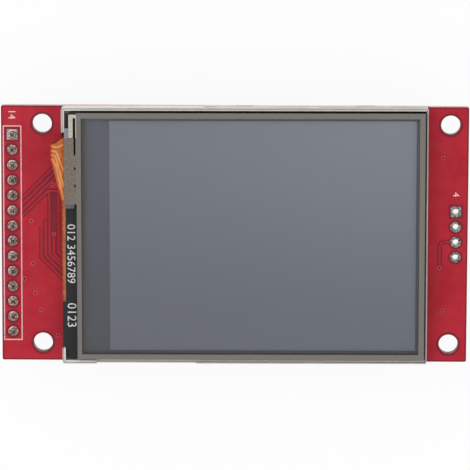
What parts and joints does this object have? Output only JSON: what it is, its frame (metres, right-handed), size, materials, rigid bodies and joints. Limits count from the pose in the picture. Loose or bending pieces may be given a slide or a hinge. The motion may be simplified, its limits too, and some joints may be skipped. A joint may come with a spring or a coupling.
{
  "type": "tft display module",
  "caption": "Touch colour display module on a red circuit board, with a pin header and a memory-card socket behind it.",
  "frame": {"origin": "centre of the four mounting holes, on the board's front face", "axes": "+X along the board from the pin header to the card port holes, +Y across the board towards pin 1, +Z out of the screen"},
  "size_m": [0.0772, 0.0431, 0.0144],
  "materials": {
    "board": "glossy red solder mask over glass epoxy",
    "mask_front": "glossy red solder mask over copper",
    "mask_back": "glossy red solder mask over copper",
    "via": "tented vias",
    "ink": "white print",
    "tin": "hot-air levelled tin",
    "header_plastic": "moulded black plastic",
    "pin": "tinned pins",
    "solder": "bright solder",
    "foam": "white foam tape",
    "tray": "stamped stainless steel",
    "frame_plastic": "white moulded plastic",
    "reflector": "white film",
    "guide": "clear acrylic",
    "sheet": "milky film",
    "prism": "ribbed film",
    "led": "white lamp package",
    "flex": "polyimide",
    "black_tape": "matt black tape",
    "polarizer": "polarizing film",
    "lcd_glass": "display glass with its dark layers",
    "filter_glass": "display glass with its dark layers",
    "front_polarizer": "anti-glare polarizing film",
    "silicon": "bare silicon",
    "ledge_tape": "satin black tape",
    "gasket": "black adhesive ring",
    "touch_glass": "clear float glass",
    "spacer": "taupe border adhesive",
    "touch_film": "hard-coated satin film",
    "silver_ink": "silver conductor print",
    "flex_track": "copper under polyimide",
    "socket_plastic": "moulded black plastic",
    "shell": "stamped stainless steel",
    "contact": "gilt spring contacts",
    "chip_plastic": "moulded epoxy",
    "lead": "tinned leads",
    "resistor": "black glazed ceramic",
    "capacitor": "tan ceramic"
  },
  "bodies": {
    "root": {"circuit_board": "board", "front_copper": "mask_front", "back_copper": "mask_back", "via_rings": "via", "front_silkscreen": "ink", "back_silkscreen": "ink", "header_lands": "tin", "card_port_lands": "tin", "header_body": "header_plastic", "header_pins": "pin", "header_solder": "solder", "foam_tape": "foam", "display_tray": "tray", "backlight_frame": "frame_plastic", "reflector_sheet": "reflector", "light_guide": "guide", "diffuser_sheet": "sheet", "lower_prism_sheet": "prism", "upper_prism_sheet": "prism", "backlight_leds": "led", "led_flex": "flex", "rim_tape": "black_tape", "rear_polarizer": "polarizer", "array_glass": "lcd_glass", "filter_glass": "filter_glass", "front_polarizer": "front_polarizer", "driver_chip": "silicon", "ledge_tape": "ledge_tape", "display_flex": "flex", "display_flex_solder": "solder", "touch_gasket": "gasket", "touch_glass": "touch_glass", "touch_spacer": "spacer", "touch_film": "touch_film", "touch_busbar": "silver_ink", "touch_flex": "flex", "touch_flex_tracks": "flex_track", "touch_flex_solder": "solder", "card_socket_base": "socket_plastic", "card_socket_shell": "shell", "card_contacts": "contact", "card_switch_contacts": "contact", "touch_controller": "chip_plastic", "touch_controller_leads": "lead", "regulator": "chip_plastic", "regulator_leads": "lead", "backlight_transistor": "chip_plastic", "transistor_leads": "lead", "chip_resistors": "resistor", "chip_capacitors": "capacitor", "chip_terminals": "solder", "back_lands": "tin"}
  },
  "joints": []
}
